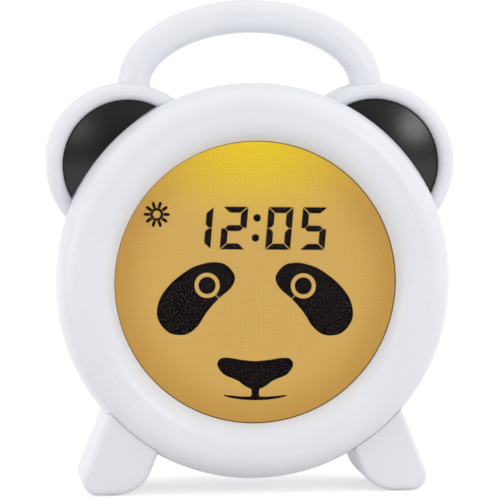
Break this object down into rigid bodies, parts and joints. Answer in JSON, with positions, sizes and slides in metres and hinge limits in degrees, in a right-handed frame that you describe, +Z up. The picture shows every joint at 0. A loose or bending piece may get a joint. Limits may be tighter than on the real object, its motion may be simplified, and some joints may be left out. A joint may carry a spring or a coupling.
{
  "type": "alarm clock",
  "caption": "Round children's alarm clock with a lit display, animal ears, carry handle, two legs, rear keys and a battery bay with a hinged door.",
  "frame": {"origin": "on the table plane, under the middle of the object's bounding box", "axes": "+Z up, the display faces -Y, +X to the right as seen from the front"},
  "size_m": [0.1318, 0.052, 0.1574],
  "materials": {
    "white_shell": "satin moulded ABS, cool white",
    "black_insert": "satin black moulded ABS",
    "clear_lens": "clear polished acrylic",
    "lcd_glass": "polished display glass",
    "amber_film": "fine linen-grained amber diffuser film, lit from behind",
    "guide_acrylic": "milky acrylic",
    "white_film": "matt white film",
    "white_inner": "matt white moulding",
    "circuit_board": "green solder mask",
    "led_phosphor": "phosphor gel",
    "grey_elastomer": "layered conductive rubber",
    "black_resin": "matt black resin",
    "zinc_steel": "bright zinc plate",
    "blue_sleeve": "shrunk sleeve",
    "white_nylon": "natural nylon",
    "speaker_paper": "black paper cone",
    "magnet_grey": "dull grey plate",
    "red_wire": "PVC insulation",
    "black_wire": "PVC insulation",
    "grey_wire": "PVC insulation",
    "key_plastic": "fine-grained light grey ABS",
    "cell_sleeve": "printed sleeve, no marks",
    "nickel_steel": "nickel plate",
    "foot_rubber": "soft matt pale grey rubber"
  },
  "bodies": {
    "clock": {"front_bezel": "white_shell", "mid_housing": "white_shell", "rear_cover": "white_shell", "carry_handle": "white_shell", "left_ear_insert": "black_insert", "right_ear_insert": "black_insert", "window_lens": "clear_lens", "lcd_front_glass": "lcd_glass", "lcd_rear_glass": "lcd_glass", "diffuser_sheet": "amber_film", "light_guide": "guide_acrylic", "reflector_sheet": "white_film", "display_frame": "white_inner", "backlight_board": "circuit_board", "backlight_leds": "led_phosphor", "contact_strip": "grey_elastomer", "main_board": "circuit_board", "clock_chip": "black_resin", "crystal_can": "zinc_steel", "capacitor": "blue_sleeve", "wire_sockets": "white_nylon", "speaker_frame": "zinc_steel", "speaker_cone": "speaker_paper", "speaker_magnet": "magnet_grey", "speaker_wires": "red_wire", "left_key_board": "circuit_board", "right_key_board": "circuit_board", "key_switches": "black_resin", "slide_switch": "zinc_steel", "usb_socket": "zinc_steel", "left_cell": "cell_sleeve", "middle_cell": "cell_sleeve", "right_cell": "cell_sleeve", "spring_contacts": "nickel_steel", "plate_contacts": "nickel_steel", "battery_wires": "black_wire", "key_wires": "grey_wire", "bezel_screws": "zinc_steel", "cover_screws": "zinc_steel", "frame_screws": "zinc_steel", "board_screws": "zinc_steel", "key_board_screws": "zinc_steel", "handle_screws": "zinc_steel", "left_leg": "white_shell", "right_leg": "white_shell", "leg_screws": "zinc_steel", "foot_pads": "foot_rubber"},
    "mode_button": {"mode_key": "key_plastic", "mode_plunger": "black_resin"},
    "up_button": {"up_key": "key_plastic", "up_plunger": "black_resin"},
    "down_button": {"down_key": "key_plastic", "down_plunger": "black_resin"},
    "alarm_button": {"alarm_key": "key_plastic", "alarm_plunger": "black_resin"},
    "light_button": {"light_key": "key_plastic", "light_plunger": "black_resin"},
    "alarm_slider": {"slide_knob": "black_resin"},
    "door": {"battery_door": "white_shell", "door_screw": "zinc_steel"}
  },
  "joints": [
    {"name": "mode_press", "type": "slide", "parent": "clock", "child": "mode_button", "axis": [0, -1, 0], "range_m": [0, 0.0006], "stiffness_N_per_m": 400},
    {"name": "up_press", "type": "slide", "parent": "clock", "child": "up_button", "axis": [0, -1, 0], "range_m": [0, 0.0006], "stiffness_N_per_m": 400},
    {"name": "down_press", "type": "slide", "parent": "clock", "child": "down_button", "axis": [0, -1, 0], "range_m": [0, 0.0006], "stiffness_N_per_m": 400},
    {"name": "alarm_press", "type": "slide", "parent": "clock", "child": "alarm_button", "axis": [0, -1, 0], "range_m": [0, 0.0006], "stiffness_N_per_m": 400},
    {"name": "light_press", "type": "slide", "parent": "clock", "child": "light_button", "axis": [0, -1, 0], "range_m": [0, 0.0006], "stiffness_N_per_m": 400},
    {"name": "alarm_slide", "type": "slide", "parent": "clock", "child": "alarm_slider", "axis": [0, 0, 1], "range_m": [0, 0.003]},
    {"name": "door_hinge", "type": "hinge", "parent": "clock", "child": "door", "pos_m": [0, 0.0248, 0.0258], "axis": [-1, 0, 0], "range_deg": [0, 80]}
  ]
}
